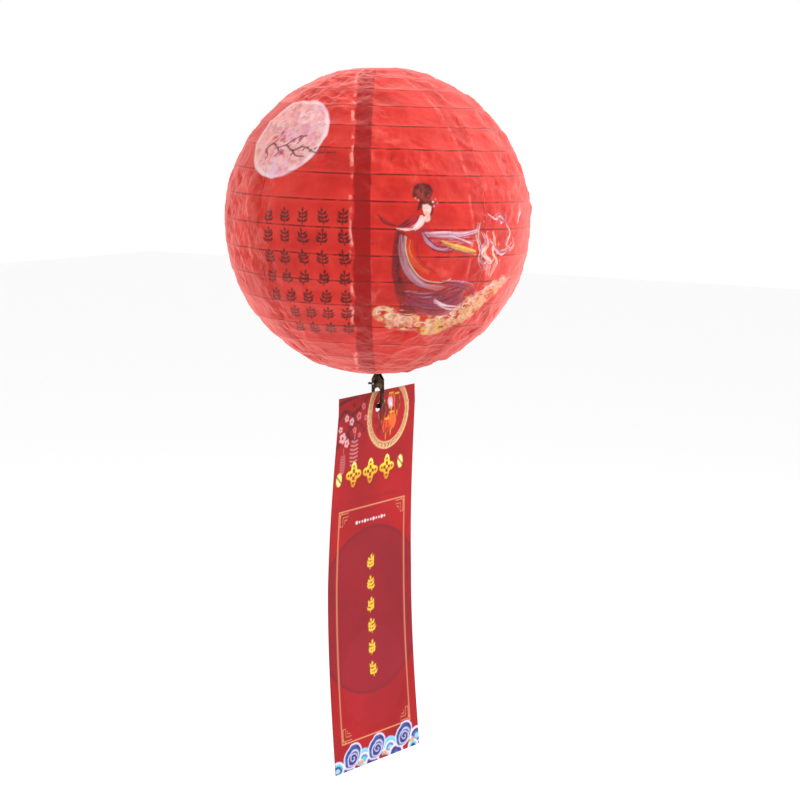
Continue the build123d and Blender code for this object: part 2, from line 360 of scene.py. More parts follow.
def drawMoon():
    # a pale moon with a blossoming branch across it
    sheet = newPrint(-38, 46, -38, 38, 4)
    radius = 28.8
    angles = np.linspace(0, 2 * math.pi, 24, endpoint=False)
    wobble = 1 + 0.018 * np.sin(3 * angles + 1) + 0.012 * np.sin(7 * angles)
    outline = np.stack([np.cos(angles), np.sin(angles)], axis=1) * radius * wobble[:, None]
    patch(sheet, outline * 1.03, "#F7E3E8", 0.75, soft=3)
    patch(sheet, outline, "#F3DCE0", 0.95, soft=2)
    patch(sheet, outline * 0.92, "#F0B9B4", 0.9, soft=6)
    washes = (
        ((-6, 8), 20, "#F2A58E", 0.75, 7, 3), ((8, 10), 18, "#E9B4CE", 0.9, 8, 5),
        ((-12, -10), 16, "#F0B08C", 0.7, 6, 7), ((6, -10), 20, "#EBA3B8", 0.85, 7, 9),
        ((0, -22), 14, "#E9C6E4", 0.8, 6, 11), ((-18, 2), 12, "#F6CFC6", 0.8, 5, 13),
        ((12, 16), 12, "#F8DCE6", 0.8, 5, 15), ((0, 0), 28, "#F9E4E2", 0.36, 3.2, 17),
        ((0, 0), 28, "#D67F8C", 0.6, 2.6, 19),
    )
    for place, reach, code, strength, size, seed in washes:
        wash(sheet, place, reach, code, strength, size, seed)
    away = np.hypot(sheet["x"], sheet["y"])
    turn = np.arctan2(sheet["y"], sheet["x"])
    edge = radius * (
        1.01 + 0.018 * np.sin(3 * turn + 1) + 0.012 * np.sin(7 * turn) + 0.008 * np.sin(19 * turn)
    )
    sheet["ink"][..., 3] *= np.clip((edge - away) / 0.8 + 0.5, 0, 1)
    disc(sheet, (0, 0), radius * 1.01, "#F6E6EE", 0.5, 1.6, inner=radius * 0.955)
    sheet["ink"][..., :3] *= 0.78
    twig = "#3E1A1E"
    twigs = (
        ((-14, -9), (-8, -5), (-2, -8), (4, -6), (10, -9), (18, -6), (28, -8), (40, -5)),
        ((-8, -5), (-5, 0), (-1, 1)), ((4, -6), (7, -2), (12, 1)), ((10, -9), (14, -12), (20, -12)),
        ((-14, -9), (-11, -12), (-12, -15)), ((-2, -8), (0, -11), (-2, -14)), ((12, 1), (17, 2)),
    )
    for points in twigs:
        brush(sheet, np.array(points) - (0, 2), twig, 0.8, 0.35, 0.85)
    for x, y, size in (
        (-10, -2, 1.7), (-6, 2, 1.2), (-1, -4, 1.5), (2, -13, 1.6), (8, -4, 1.3), (13, -3, 1.1),
        (-13, -12, 1.3)
    ):
        drawBlossom(sheet, x, y, (0.9 * size, 0.6 * size, "#A8394B", 0.75), (0.4 * size, "#6E1B2B"))
    for x, y in (
        (16, -8), (18, -10), (21, -8), (23, -10), (26, -8), (29, -9), (33, -7), (14, -2), (6, -9),
        (-4, -11), (10, -14), (1, -6), (12, -6)
    ):
        brush(sheet, ((x, y), (x + 1.4, y + 1.7)), "#5E2A2C", 0.6, 0.2, 0.85)
    return sheet


def drawSprig(sheet, x, y, ink, chance):
    # one leafy sprig about 10 mm high: an arched stem, three pairs of raised leaves and one at the tip
    sway = chance.uniform(-1.3, 1.3)
    brush(
        sheet, ((x - sway, y - 5), (x + sway * 0.3, y - 1), (x + sway * 0.4, y + 3)), ink, 0.42, 0.25, 0.92,
        0.3
    )
    for pair in range(3):
        root = np.array((x - sway * 0.4 + sway * 0.3 * pair, y - 3.4 + 2.3 * pair))
        for side in (-1, 1):
            tip = root + (side * chance.uniform(3.3, 4.6) * (1 - 0.12 * pair), chance.uniform(1.6, 3.0))
            bend = (root + tip) / 2 + (side * 0.5, -0.5)
            brush(sheet, (root, bend, tip), ink, 0.25, 0.12, 0.92, 0.3, middle=0.95)
    top = np.array((x + sway * 0.4, y + 2.4))
    brush(
        sheet, (top, top + (0.3 * sway, 1.4), top + (0.5 * sway, 3)), ink, 0.3, 0.12, 0.92, 0.3, middle=0.85
    )


def drawSprigs():
    # rows of small leafy sprigs in black ink, seven rows of up to five
    sheet = newPrint(-86, -12, -80, 16, 5)
    ink = "#1C0908"
    rows = (8.6, -4, -17.2, -30, -43, -55.2, -67.4)
    columns = (-73.2, -60.4, -47, -33.6, -20)
    chance = np.random.default_rng(8)
    for rowIndex, rowHeight in enumerate(rows):
        narrowing = math.cos(rowHeight / 100) ** 0.6
        for columnIndex, column in enumerate(columns):
            if rowIndex > 4 and columnIndex == 0:
                continue
            lean = chance.uniform(-0.25, 0.25)
            drawSprig(sheet, column * narrowing + lean, rowHeight, ink, chance)
    return sheet


def sweep(sheet, chance, first, second, codes, count, width, strength=0.85, jitter=0.5):
    # many fine strokes that pass from one guide line to another
    first, second = np.array(first, float), np.array(second, float)
    for index in range(count):
        share = (index + chance.random()) / count
        line = first * (1 - share) + second * share + chance.normal(0, jitter, first.shape)
        half = width * chance.uniform(0.5, 1.2)
        brush(
            sheet, line, codes[chance.integers(len(codes))], half * 0.4, half * 0.3, strength, 0.4,
            middle=half
        )


def drawLady():
    # a robed lady with long sashes standing on clouds, a plain calm figure in the print's own style
    sheet = newPrint(-8, 124, -82, 36, 4)
    chance = np.random.default_rng(77)
    hair, maroon, plum, purple, lilac = "#1E0E0E", "#520F18", "#451726", "#5C3858", "#B795B4"
    pink, orange, gold, white, grey = "#DB8C8A", "#CC4A1A", "#C99A34", "#E6D2D6", "#9C808C"
    cream, straw, olive, lime = "#DFC594", "#C6A24C", "#80763A", "#CFC540"
    # clouds, as soft puffs under curled strokes
    clouds = (
        ((4, -55), 5.5), ((11, -59), 7), ((19, -62), 7), ((28, -65), 6.5), ((37, -65), 7), ((46, -62), 7),
        ((54, -58), 7), ((62, -53), 7), ((70, -48), 6.5), ((78, -43), 6), ((86, -40), 5), ((95, -36), 4),
    )
    for (x, y), size in clouds:
        wash(sheet, (x, y), size * 1.3, cream, 0.72, 4.2, 90, 0.38)
        wash(sheet, (x + 1, y - 1), size * 1.1, straw, 0.6, 3.2, 40, 0.53)
        wash(sheet, (x, y - size * 0.4), size, olive, 0.6, 2.6, 60, 0.55)
        wash(sheet, (x + 2, y), size * 0.9, orange, 0.4, 2.4, int(x) + 20, 0.6)
        # each puff is two curls that close on themselves
        for spot, half, code in (
            ((x - size * 0.25, y + size * 0.2), size * 0.55, white),
            ((x + size * 0.5, y - size * 0.35), size * 0.4, (cream, olive)[int(x) % 2])
        ):
            turns = np.linspace(chance.uniform(-0.6, 0.6), chance.uniform(4.0, 5.2), 9)
            reach = half * np.linspace(1.15, 0.4, 9)
            curl = np.stack(
                [spot[0] + reach * np.cos(turns) * 1.25, spot[1] + reach * np.sin(turns) * 0.8], axis=1
            )
            brush(sheet, curl + chance.normal(0, 0.15, curl.shape), code, 0.2, 0.45, 0.8, 0.5, middle=0.5)
    wash(sheet, (36, -62), 12, lime, 0.5, 2.6, 37, 0.55)
    wash(sheet, (15, -60), 10, "#DDA0A8", 0.5, 2.6, 31, 0.52)
    for fold in (
        (((-2, -51), (4, -49), (11, -51)), ((0, -54), (5, -52), (12, -54)), (cream, white), 4, 0.5, 0.7),
        (
            ((66, -43), (80, -38), (97, -35), (108, -31)), ((68, -47), (82, -43), (92, -40), (98, -37)),
            (cream, straw, white, olive), 7, 0.6, 0.6, 0.9
        ),
    ):
        sweep(sheet, chance, *fold)
    # skirt: dark at the back edge, a pale sash and orange lining in front, folds sweeping right at the hem
    patch(
        sheet,
        (
            (13.5, -1), (11.5, -12), (11, -28), (12, -42), (18, -52), (28, -55), (40, -56), (50, -53),
            (52, -48), (44, -42), (32, -36), (23, -29), (19, -18), (18, -2)
        ),
        maroon, 0.72, soft=4
    )
    for fold in (
        (
            ((13, 0), (11, -14), (11, -30), (14, -43), (22, -53)),
            ((16, -2), (15, -16), (16, -28), (21, -38), (32, -46)), (hair, maroon, plum, maroon), 13, 0.75
        ),
        (
            ((15, -3), (15, -14), (18, -26), (26, -35), (40, -40)),
            ((19, -3), (19, -14), (23, -23), (31, -31), (46, -34)),
            (grey, lilac, "#8C4A60", grey, purple, maroon), 12, 0.6, 0.8
        ),
        (
            ((20, -5), (20, -13), (24, -22), (32, -28)), ((24, -7), (24, -14), (28, -21), (36, -27)),
            (orange, "#BC2A18", "#C63A1E", gold), 6, 0.7, 0.7
        ),
    ):
        sweep(sheet, chance, *fold)
    brush(
        sheet, ((18.6, -4), (18.8, -14), (23, -24), (30, -31), (41, -33), (48, -31)), cream, 0.4, 0.3, 0.9
    )
    brush(sheet, ((25.6, -8), (25.6, -14), (29, -20), (37, -26.5)), maroon, 0.3, 0.2, 0.7)
    for fold in (
        (
            ((20, -38), (32, -40), (44, -38), (58, -34)), ((18, -49), (30, -55), (44, -56), (60, -47)),
            (plum, purple, maroon, plum, "#7E2C46", lilac, maroon, "#B4606E"), 38, 0.8, 0.85, 0.9
        ),
        (
            ((40, -34), (50, -37), (60, -40), (64, -46)), ((42, -31), (54, -33), (64, -36), (69, -42)),
            (pink, purple, maroon, lilac), 9, 0.55, 0.75
        ),
        (
            ((36, -45), (44, -48), (52, -50)), ((40, -50), (48, -54), (56, -53)), (white, "#6E70A8", lilac),
            6, 0.6, 0.8
        ),
        (
            ((14, -50), (18, -49), (24, -51)), ((14, -55), (19, -57), (25, -55)), (hair, maroon, hair), 9,
            0.8, 0.95, 0.3
        ),
    ):
        sweep(sheet, chance, *fold)
    # bodice, arm and the dark sleeve held out to the left
    patch(
        sheet, ((20, 8), (24, 9.5), (30, 7), (33, 3), (33, -1), (28, -3), (23, -2), (19, 1)), "#93202C",
        0.85, soft=2
    )
    for fold in (
        (
            ((27, 9), (25, 5), (21, 2)), ((31, 8.5), (29, 4), (25, 0)), (white, "#F0BFB6", white, maroon),
            8, 0.7, 0.95, 0.2
        ),
        (
            ((20, 7.5), (17, 5), (13, 2.6)), ((22, 5.5), (18, 2.6), (13, 1.2)), (maroon, hair, "#7A2830"),
            7, 0.6, 0.95, 0.2
        ),
        (
            ((24, 2), (19, 1.4), (12, 1.8)), ((24, 0.6), (19, 0.2), (13, 0.6)), ("#F4D2CC", "#E8B4AC"), 3,
            0.5, 0.95, 0.15
        ),
        (
            ((13, 2.4), (8, 3.4), (4, 5.6), (1, 10)), ((11, 3.8), (7, 5.2), (4, 7.6), (1.4, 9.4)),
            (hair, "#3A1519", hair, "#6A2028"), 8, 0.6, 0.95, 0.2
        ),
    ):
        sweep(sheet, chance, *fold)
    # sleeve and sashes streaming to the right
    for fold in (
        (
            ((30, -1), (42, -1.4), (56, -1.6), (68, 0.4)), ((30, -4), (42, -4.6), (56, -5), (68, -2)),
            (white, lilac, white, grey, "#93202C"), 12, 0.6, 0.85
        ),
        (
            ((34, -4), (46, -6), (58, -5), (67, -4)), ((36, -9), (48, -11), (60, -10), (68, -9)),
            ("#9A1E2C", maroon, pink, lilac, "#9A1E2C"), 12, 0.7, 0.75, 0.7
        ),
        (
            ((28, -1), (31, -7), (36, -12), (43, -14), (49, -13.5)),
            ((30, -2), (34, -6.5), (39, -9.5), (45, -10), (51, -9)), (hair, maroon, lilac, hair, plum), 8,
            0.6, 0.9, 0.35
        ),
        (
            ((42, -6), (50, -9), (58, -11), (67, -13)), ((42, -8.5), (50, -12), (58, -14.5), (67, -16.5)),
            (gold, straw, "#E7C75A", purple, gold), 9, 0.7, 0.9, 0.4
        ),
        (
            ((48, -3), (56, -6), (64, -9)), ((50, -5), (58, -8.5), (65, -12)), (white, purple, pink), 5,
            0.5, 0.85
        ),
    ):
        sweep(sheet, chance, *fold)
    # loose ribbons trailing down and away
    for points, width, count in (
        (((68, 4), (66.5, -4), (69, -11), (68, -19), (72, -26)), 3.2, 7),
        (((72, -3), (74, -9), (71, -15), (76, -20), (75, -29)), 3.0, 8),
        (((80, -2), (83, -9), (80, -15), (84, -21), (79, -32)), 2.4, 6),
        (((76, 9), (82, 6), (87, 8), (93, 4)), 1.6, 3), (((84, 8), (90, 3), (94, 6), (90, 10)), 1.4, 4),
        (((78, -8), (84, -13), (90, -16), (97, -13), (103, -10)), 2.6, 6),
        (((94, 2), (99, -5), (95, -10), (101, -14)), 2.0, 5), (((104, -8), (107, -12), (100, -16)), 1.6, 3),
        (((110, 2), (114, 9), (113, 15)), 1.6, 4), (((70, -19), (77, -22), (84, -19)), 2.2, 5),
    ):
        line = np.array(points, float)
        sweep(
            sheet, chance, line, line + (width, -width * 0.3),
            (white, lilac, white, purple, pink, cream, grey), count, 0.55, 0.85, 0.8
        )
    for _ in range(26):
        spot = (chance.uniform(68, 100), chance.uniform(-26, 8))
        disc(sheet, spot, chance.uniform(0.4, 0.9), (white, lilac, gold, purple)[chance.integers(4)], 0.7)
    # head: a plain oval face turned down to the left under a tall bun
    patch(
        sheet,
        (
            (26, 12), (26.5, 17), (30, 19.5), (34.5, 18), (36, 13), (34.5, 8.5), (32, 9.5), (30, 15),
            (27.5, 13)
        ),
        hair, 0.96
    )
    patch(
        sheet, ((29.5, 16.5), (29.2, 12.5), (30.6, 9.3), (32.6, 8.9), (34.4, 11.6), (34.3, 16)), "#F0CDBE",
        0.98
    )
    patch(sheet, ((31, 9.8), (33.6, 9.6), (33.8, 6), (30.6, 5.4)), "#E9C0B2", 0.95)
    patch(sheet, ((28.6, 18.6), (29.5, 15.6), (32, 15.8), (34.6, 14.4), (36, 16.8), (33, 19.4)), hair, 0.96)
    brush(sheet, ((30.0, 13.6), (30.8, 13.5)), "#3A2020", 0.14, 0.12, 0.9, 0.25)
    brush(sheet, ((32.3, 13.4), (33.1, 13.4)), "#3A2020", 0.14, 0.12, 0.9, 0.25)
    brush(sheet, ((31.1, 10.9), (31.9, 10.8)), "#B5383C", 0.2, 0.15, 0.9, 0.25)
    patch(
        sheet, ((22.6, 21), (23.4, 26.5), (27, 29), (33, 28.2), (35.8, 23.6), (33, 18.6), (27, 18.4)), hair,
        0.96
    )
    sweep(
        sheet, chance, ((24.5, 20), (25.4, 25), (27.5, 28)), ((33, 19.4), (33.4, 24), (31.5, 28)),
        ("#6A3A38", hair, "#4A2624"), 8, 0.3, 0.8, 0.15
    )
    for x, y, code in (
        (26, 18.4, pink), (35.6, 17.2, white), (36.4, 14.6, lilac), (24.4, 19.6, gold), (33, 21, "#8A3038"),
        (37.4, 19, grey), (38.5, 16.5, grey)
    ):
        disc(sheet, (x, y), 0.7, code, 0.8)
    wear = 0.6 * cloudNoise(
        sheet["x"], sheet["y"], 1.1, 5
    ) + 0.4 * cloudNoise(sheet["x"], sheet["y"], 3.1, 6)
    sheet["ink"][..., 3] *= 0.72 + 0.28 * np.clip((wear - 0.3) * 3, 0, 1)
    return sheet


def drawCard():
    # the riddle card's front, in mm from its middle at its top edge:
    # a key-pattern ring with lanterns, gold motifs, a frame and waves
    wide, tall = 90, 255
    sheet = newPrint(-wide / 2 - 1, wide / 2 + 1, -tall - 1, 1, 4)
    gold, tan = "#E9C437", "#D9926A"
    shadow, plum, petal = "#8E0F14", "#5A1218", "#E7A9AE"
    # blossoming plum branches in the upper left
    for points in (
        ((-45, -14), (-38, -9), (-30, -12), (-20, -8), (-12, -2)),
        ((-45, -33), (-40, -27), (-34, -24), (-27, -19)), ((-34, -24), (-30, -28), (-22, -29)),
        ((-30, -12), (-26, -17), (-20, -19)), ((-45, -4), (-36, -2), (-24, -1))
    ):
        brush(sheet, points, plum, 1.3, 0.6, 0.9, 0.6)
    for x, y, size in (
        (-39, -27, 3.0), (-34, -31, 2.3), (-30, -17, 2.2), (-22, -14, 2.4), (-17, -8, 2.0), (-42, -21, 1.8),
        (-26, -23, 1.8), (-36, -14, 2.0), (-14, -16, 1.7), (-20, -27, 1.5)
    ):
        code = petal if x < -28 else "#D96A72"
        drawBlossom(sheet, x, y, (0.8 * size, 0.52 * size, code, 0.85), (0.35 * size, plum))
    for x, y in ((-24, -10), (-28, -6), (-18, -21), (-25, -30), (-32, -20), (-15, -24)):
        disc(sheet, (x, y), 1.5, plum, 0.85, 0.8)
    # faint paper lanterns behind the branches
    for x, top, drop, reach, strength in ((-25, -29, 19, 4.2, 0.5), (-37, -38, 13, 2.6, 0.3)):
        for share in np.linspace(0.08, 0.92, 7):
            y = top - drop * share
            half = reach * (0.65 + 0.35 * math.sin(share * math.pi))
            brush(sheet, ((x - half, y), (x, y - 0.7), (x + half, y)), petal, 0.55, 0.55, strength, 0.8)
        brush(sheet, ((x, top + 4), (x, top)), petal, 0.4, 0.4, strength)
        brush(sheet, ((x, top - drop), (x, top - drop - 6)), petal, 0.8, 0.4, strength * 0.8)
    # the ring, cut by the card's top edge
    ring = {"middle": (12.7, -15.9), "outer": 25, "band": 5}
    disc(sheet, ring["middle"], ring["outer"] - ring["band"], "#A81016", 0.9)
    # lanterns hanging inside the ring
    for x, y, half, lanternTall, code in (
        (5, -14, 5.5, 13, "#7E0C12"), (16.5, -22, 6.0, 12, "#E8651F"), (23, -10, 4.4, 12, "#8C1016"),
        (11, -25, 4.6, 10, "#C8281A"), (16, -8, 4.8, 10, "#D8321E")
    ):
        outline = [
            (x + half * math.cos(a), y + lanternTall / 2 * math.sin(a)) for a in np.arange(0, 6.2, 0.6)
        ]
        patch(sheet, outline, code, 0.95, soft=2)
        for share in (-0.55, 0, 0.55):
            brush(
                sheet,
                (
                    (x + share * half, y + lanternTall * 0.4), (x + share * half * 1.5, y),
                    (x + share * half, y - lanternTall * 0.4)
                ),
                "#F08A3A", 0.3, 0.3, 0.7
            )
        brush(
            sheet, ((x - half * 0.5, y + lanternTall / 2), (x + half * 0.5, y + lanternTall / 2)), gold,
            0.5, 0.5, 0.8
        )
        brush(sheet, ((x, y - lanternTall / 2), (x, y - lanternTall / 2 - 4)), "#E8A030", 0.6, 0.3, 0.8)
    disc(sheet, (14.5, -8.5), 2.8, "#DCD6EE", 0.85, 1.2)
    disc(sheet, (15, -11.5), 2.0, "#FFFFFF", 0.8, 1.2)
    wash(sheet, (8, -20), 12, "#5A0A10", 0.6, 4, 61)
    disc(sheet, ring["middle"], ring["outer"], "#E4B07E", 0.95, inner=ring["outer"] - 1.1)
    disc(
        sheet, ring["middle"], ring["outer"] - 1.1, "#8A5A34", 0.9, inner=ring["outer"] - ring["band"] + 0.9
    )
    disc(
        sheet, ring["middle"], ring["outer"] - ring["band"] + 0.9, "#E4B07E", 0.95,
        inner=ring["outer"] - ring["band"]
    )
    keys = 40
    for key in range(keys):
        angle = 2 * math.pi * key / keys
        hook = ((-1.1, -1.3), (1.1, -1.3), (1.1, 1.0), (-0.5, 1.0), (-0.5, -0.3), (0.4, -0.3))
        bends = []
        for out, along in hook:
            reach = ring["outer"] - ring["band"] / 2 + out
            turn = angle + along / 22
            bends.append(
                (ring["middle"][0] + reach * math.cos(turn), ring["middle"][1] + reach * math.sin(turn))
            )
        for pair in zip(bends, bends[1:]):
            brush(sheet, pair, "#E9C08C", 0.28, 0.28, 0.9, 0.25)
    # three gold four-petal knots in a row, bright above and deep below, with a dark edge under them
    golds = ("#C9821A", "#DDA624", "#EBCB35", "#F6EA6C")
    for x in (-23.5, -4.6, 14.3):
        for dx, dy, grow in ((0.8, -1.0, 0.4), (0, 0, 0)):
            for base, swing, thick in ((5.3, 2.5, 0.8), (4.4, 0, 0.5)):
                for part in range(32):
                    angle = (part + np.array((0, 0.6, 1.2))) * math.tau / 32
                    reach = base + swing * np.cos(4 * angle)
                    points = np.stack(
                        [x + dx + reach * np.cos(angle), dy - 53.5 + reach * np.sin(angle)], axis=1
                    )
                    height = (reach[1] * math.sin(angle[1]) + 9) / 18
                    code = shadow if grow else golds[min(3, int(height * 4))]
                    brush(sheet, points, code, thick + grow, thick + grow, 0.97, 0.35)
            disc(sheet, (x + dx, dy - 53.5), 1.3 + grow, shadow if grow else golds[2], 0.97, 0.5)
    for x, y in ((-39.6, -55), (30, -52)):
        patch(
            sheet, [(x + 3.1 * math.cos(a), y + 4.6 * math.sin(a)) for a in np.arange(0, 6.2, 0.6)],
            "#EBDD86", 0.95
        )
        brush(sheet, ((x - 2.8, y + 2.6), (x + 2.8, y - 2.6)), "#3A3A1C", 0.6, 0.6, 0.95)
    # a broad darker round behind the middle of the card
    disc(sheet, (0, -150), 58, "#761222", 0.6, 0.8)
    disc(sheet, (0, -150), 58, "#6A0A1C", 0.5, 1.4, inner=56)
    disc(sheet, (0, -196), 34, "#9A2236", 0.16, 2)
    # frame line with fretted corners
    left, right, top, bottom = -36.5, 36.5, -77.5, -236
    for points in (
        ((left, top), (right, top)), ((left, bottom), (right, bottom)), ((left, top), (left, bottom)),
        ((right, top), (right, bottom))
    ):
        brush(sheet, points, tan, 0.5, 0.5, 0.85, 0.4)
    for sx, x in ((1, left), (-1, right)):
        for sy, y in ((-1, top), (1, bottom)):
            frets = (
                ((1.6, 1.6), (10, 1.6), (10, 4.2), (4.4, 4.2), (4.4, 10), (1.6, 10), (1.6, 1.6)),
                ((6.2, 6.2), (8.6, 6.2)), ((6.2, 6.2), (6.2, 8.6)), ((0, 3), (1.6, 3)), ((3, 0), (3, 1.6))
            )
            for fret in frets:
                for (ax, ay), (bx, by) in zip(fret, fret[1:]):
                    brush(
                        sheet, ((x + sx * ax, y + sy * ay), (x + sx * bx, y + sy * by)), tan, 0.32, 0.32,
                        0.8, 0.3
                    )
    # three fine rows of dots
    for rowY, start, count, pitch, code, strength in (
        (-72.5, -27, 19, 2.9, shadow, 0.7), (-87.5, -17, 11, 3.1, "#F0D8DC", 0.85),
        (-225, -20, 14, 2.9, shadow, 0.7)
    ):
        for index in range(count):
            disc(sheet, (start + index * pitch, rowY), 0.9 if index % 3 else 1.3, code, strength, 0.5)
    # six gold sprigs down the middle
    chance = np.random.default_rng(21)
    for y in (-117, -132, -147, -161.5, -176.5, -191.5):
        drawSprig(sheet, 0, y, gold, chance)
    # rolling waves along the bottom
    edge, navy, blue = "#D6D0EE", "#1C2162", "#3F68A8"
    pale, turquoise, violet = "#93BCE0", "#55B8C6", "#4A2A78"
    low = (
        (-43, -253, 8, (edge, turquoise, navy, pale)),
        (-15, -251, 9, (pale, turquoise, edge, blue, turquoise)),
        (13, -250, 9.5, (pale, turquoise, edge, blue, pale)), (43, -249, 8.5, (edge, navy, blue, pale)),
        (-32, -256, 7, (edge, violet, navy, blue)), (-7, -256, 8, (edge, violet, navy, violet)),
        (19, -255.5, 8, (edge, navy, violet, blue)), (38, -255, 6, (edge, turquoise, navy)),
    )
    for x, y, size, codes in low:
        for step, code in enumerate(codes):
            grow = size * (1 - step / (len(codes) + 0.4))
            arch = [
                (
                    x + grow * math.cos(a), y + 0.85 * grow * math.sin(a)
                ) for a in np.linspace(-0.2, math.pi + 0.2, 10)
            ]
            patch(sheet, arch + [(x, y - grow * 0.5)], code, 0.97, soft=1)
    for x, y in ((-26.6, -246.5), (-1.0, -246), (28.8, -244.5)):
        middle = np.array([x, y])
        crest = np.array(
            (
                (-9, -6), (-9.6, 0), (-7, 4.4), (-4, 6.2), (-1, 8.6), (4, 8.9), (7.6, 7.4), (9.6, 4.0),
                (8.4, 0), (6, -4), (0, -7.4), (-5, -7.6)
            )
        )
        patch(sheet, crest + middle, edge, 0.98)
        patch(sheet, crest * 0.88 + middle, navy, 0.98)
        patch(sheet, crest * 0.7 + middle + (0.3, -1), blue, 0.98)
        patch(sheet, crest * 0.62 + middle + (0.4, -1.3), edge, 0.98)
        patch(sheet, crest * 0.54 + middle + (0.4, -1.4), navy, 0.98)
        turns = np.linspace(0.3, 8.6, 22)
        reach = 0.5 + 0.5 * turns
        spiral = np.stack(
            [x + 0.4 + reach * np.cos(1.4 - turns), y - 1.2 + 0.86 * reach * np.sin(1.4 - turns)], axis=1
        )
        brush(sheet, spiral, "#B9B4E4", 0.4, 0.5, 0.98, 0.35)
        brush(
            sheet,
            ((x - 7.4, y - 3), (x - 7.8, y + 0.5), (x - 5.2, y + 4), (x - 1, y + 6.2), (x + 4, y + 6.6)),
            blue, 0.5, 0.3, 0.9
        )
        for dx, code in ((7.5, "#CFC43C"), (9.3, "#D8742A"), (5.8, "#6A7A2C")):
            disc(sheet, (x + dx, y - 5.2 - abs(dx - 7.5) * 0.4), 1.4, code, 0.95, 0.5)
        brush(sheet, ((x + 5, y - 7.2), (x + 8, y - 3.4), (x + 11, y - 7)), edge, 0.3, 0.25, 0.9)
    return sheet


print("prints drawn")

# The paper: wood-pulp rice paper, piece-dyed red
# It gives a soft, slightly waxy surface with pink light at its edges; painted shade and painted highlights
# follow its ribs, folds and laps
paperFacts = {
    # the first three colours are the dye's own mottle; the others paint light and shade: the rib shadow
    # line, the shade over each lap, the highlight along the lap crease, and the highlight and shade on the
    # folds
    "darkRed": "#A81610", "red": "#BB2018", "lightRed": "#CB3026", "ribShadowRed": "#6A0808",
    "lapShadeRed": "#8C0000", "creaseHighlightPink": "#F09A8E", "foldHighlightPink": "#E0685C", "foldShadeDark": "#8C100C",
    "mottleSize": 26 * mm, "patchSize": 9 * mm, "streakWidth": 6 * mm, "streakLength": 22 * mm,
    "fibreSize": 0.9 * mm, "ribShadowLineWidth": 0.5 * mm, "ribHighlightWidth": 3.2 * mm,
}


